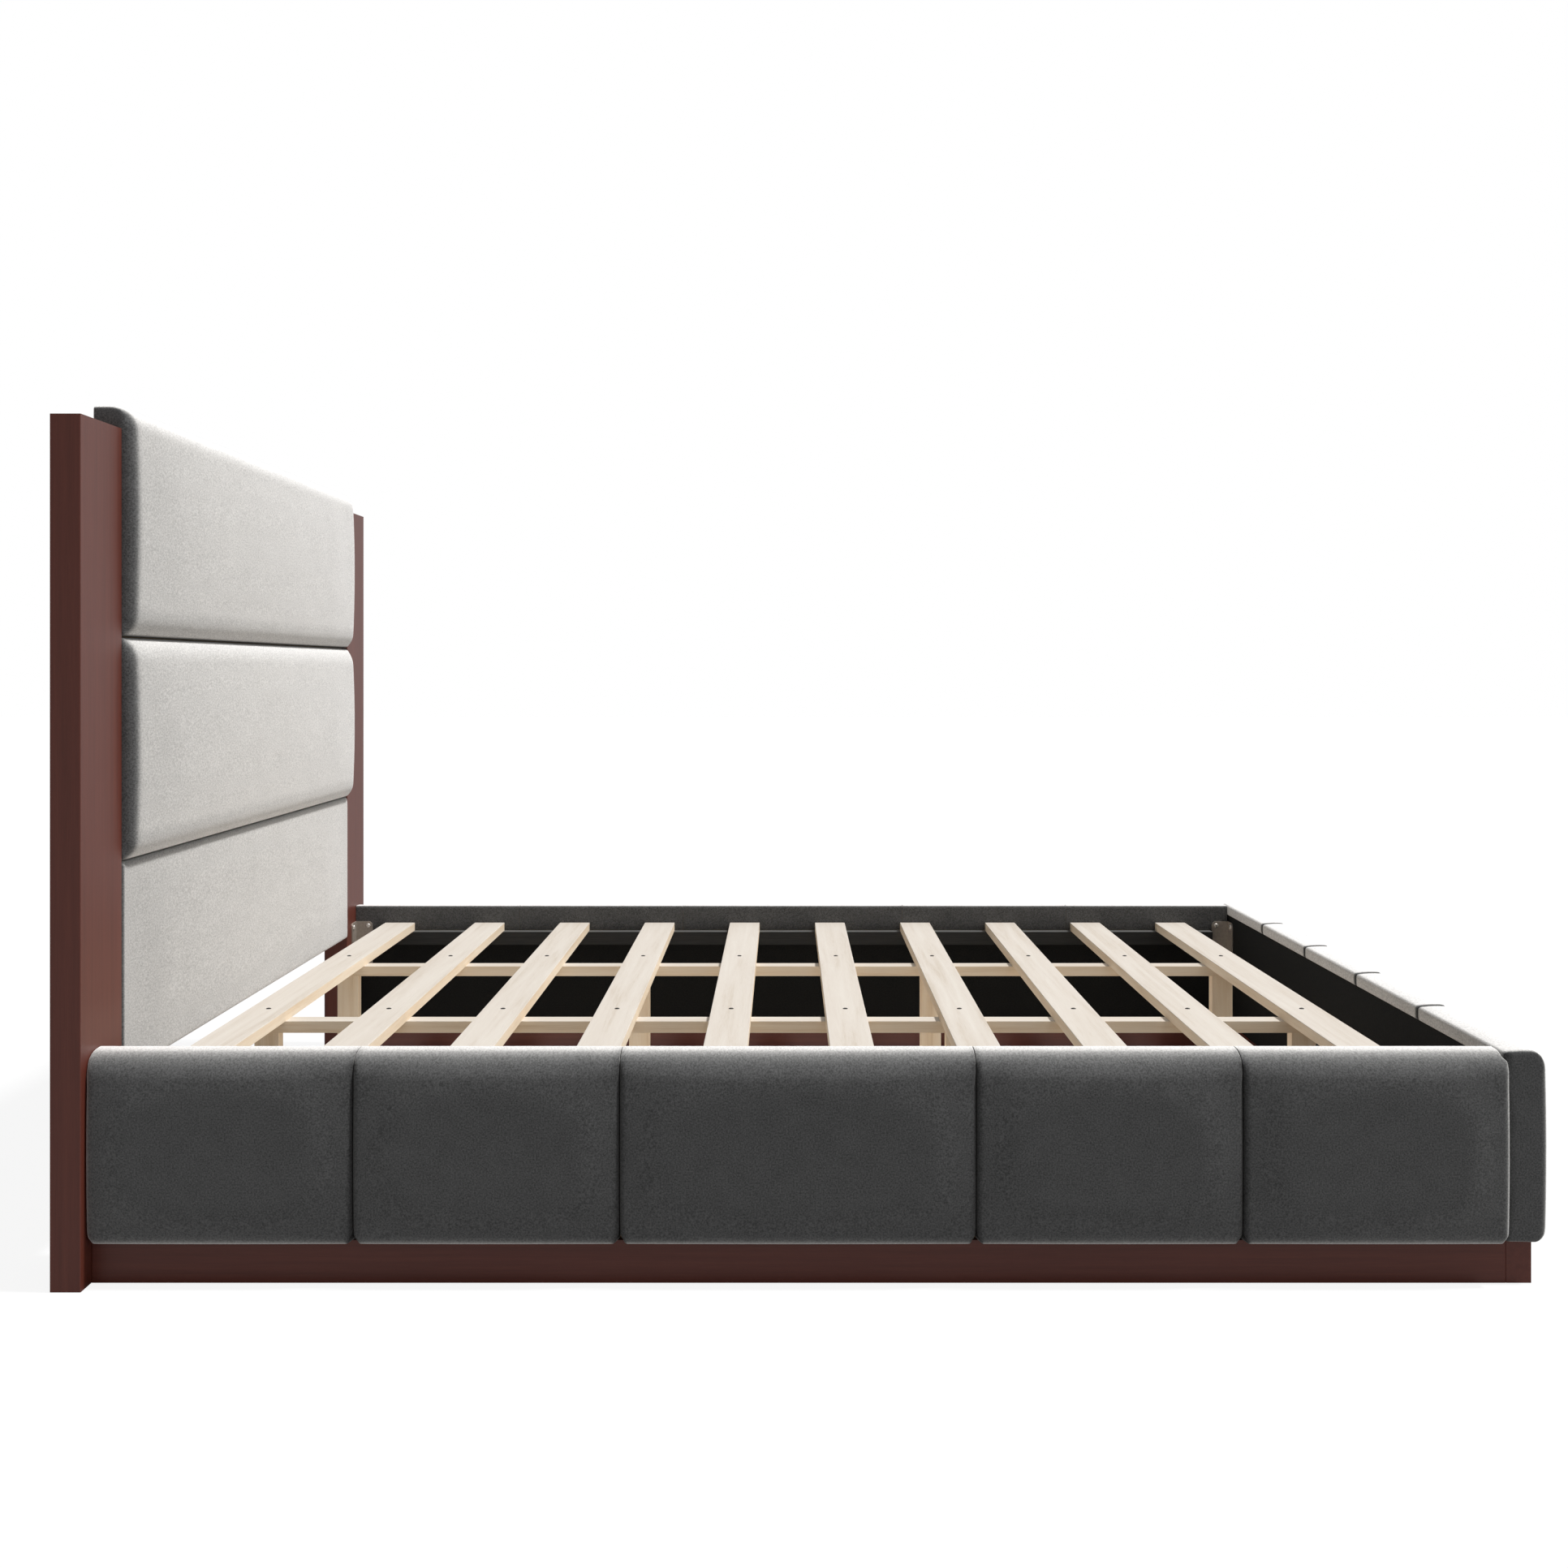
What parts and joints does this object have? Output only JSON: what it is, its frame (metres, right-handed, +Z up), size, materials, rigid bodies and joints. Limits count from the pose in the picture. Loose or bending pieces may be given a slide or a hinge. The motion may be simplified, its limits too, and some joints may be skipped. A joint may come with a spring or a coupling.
{
  "type": "upholstered platform bed",
  "caption": "Queen platform bed with a cushioned headboard between wooden posts, padded rails over a plinth, and a screwed slat deck on beams with legs.",
  "frame": {"origin": "on the floor, under the middle of the whole bed's bounding box", "axes": "+X from the headboard to the foot, +Y to the right-hand side of someone at the foot who faces the headboard, +Z up"},
  "size_m": [2.1693, 1.684, 1.298],
  "materials": {
    "velvet": "grey velvet with a short pile, light where it catches the light",
    "stained_wood": "solid wood stained reddish brown, satin lacquer",
    "poplar": "planed pale softwood, unfinished",
    "plywood": "raw plywood, hidden inside the upholstery",
    "black_stained_wood": "matt black stain",
    "lining_cloth": "thin black non-woven cloth",
    "zinc_plated_steel": "zinc-plated pressed steel",
    "dark_screw_steel": "dark phosphated steel"
  },
  "bodies": {
    "root": {"bracket_bolts": "zinc_plated_steel", "corner_bracket_foot_left": "zinc_plated_steel", "corner_bracket_foot_right": "zinc_plated_steel", "corner_bracket_head_left": "zinc_plated_steel", "corner_bracket_head_right": "zinc_plated_steel", "foot_plinth_board": "stained_wood", "foot_rail_board": "plywood", "foot_rail_lining": "lining_cloth", "foot_rail_pad_1": "velvet", "foot_rail_pad_2": "velvet", "foot_rail_pad_3": "velvet", "foot_rail_pad_4": "velvet", "foot_rail_pad_5": "velvet", "headboard_back_cover": "lining_cloth", "headboard_bottom_rail": "poplar", "headboard_cushion_bottom": "velvet", "headboard_cushion_middle": "velvet", "headboard_cushion_top": "velvet", "headboard_dowels": "poplar", "headboard_face_board": "plywood", "headboard_post_left": "stained_wood", "headboard_post_right": "stained_wood", "headboard_stile_left": "poplar", "headboard_stile_right": "poplar", "headboard_top_rail": "poplar", "left_beam": "poplar", "left_beam_legs": "poplar", "left_plinth_board": "stained_wood", "left_rail_board": "plywood", "left_rail_cleat": "black_stained_wood", "left_rail_lining": "lining_cloth", "left_rail_pad_1": "velvet", "left_rail_pad_2": "velvet", "left_rail_pad_3": "velvet", "left_rail_pad_4": "velvet", "left_rail_pad_5": "velvet", "leg_screws": "dark_screw_steel", "plinth_screws": "dark_screw_steel", "right_beam": "poplar", "right_beam_legs": "poplar", "right_plinth_board": "stained_wood", "right_rail_board": "plywood", "right_rail_cleat": "black_stained_wood", "right_rail_lining": "lining_cloth", "right_rail_pad_1": "velvet", "right_rail_pad_2": "velvet", "right_rail_pad_3": "velvet", "right_rail_pad_4": "velvet", "right_rail_pad_5": "velvet", "slat_01": "poplar", "slat_02": "poplar", "slat_03": "poplar", "slat_04": "poplar", "slat_05": "poplar", "slat_06": "poplar", "slat_07": "poplar", "slat_08": "poplar", "slat_09": "poplar", "slat_10": "poplar", "slat_screws": "dark_screw_steel"}
  },
  "joints": []
}
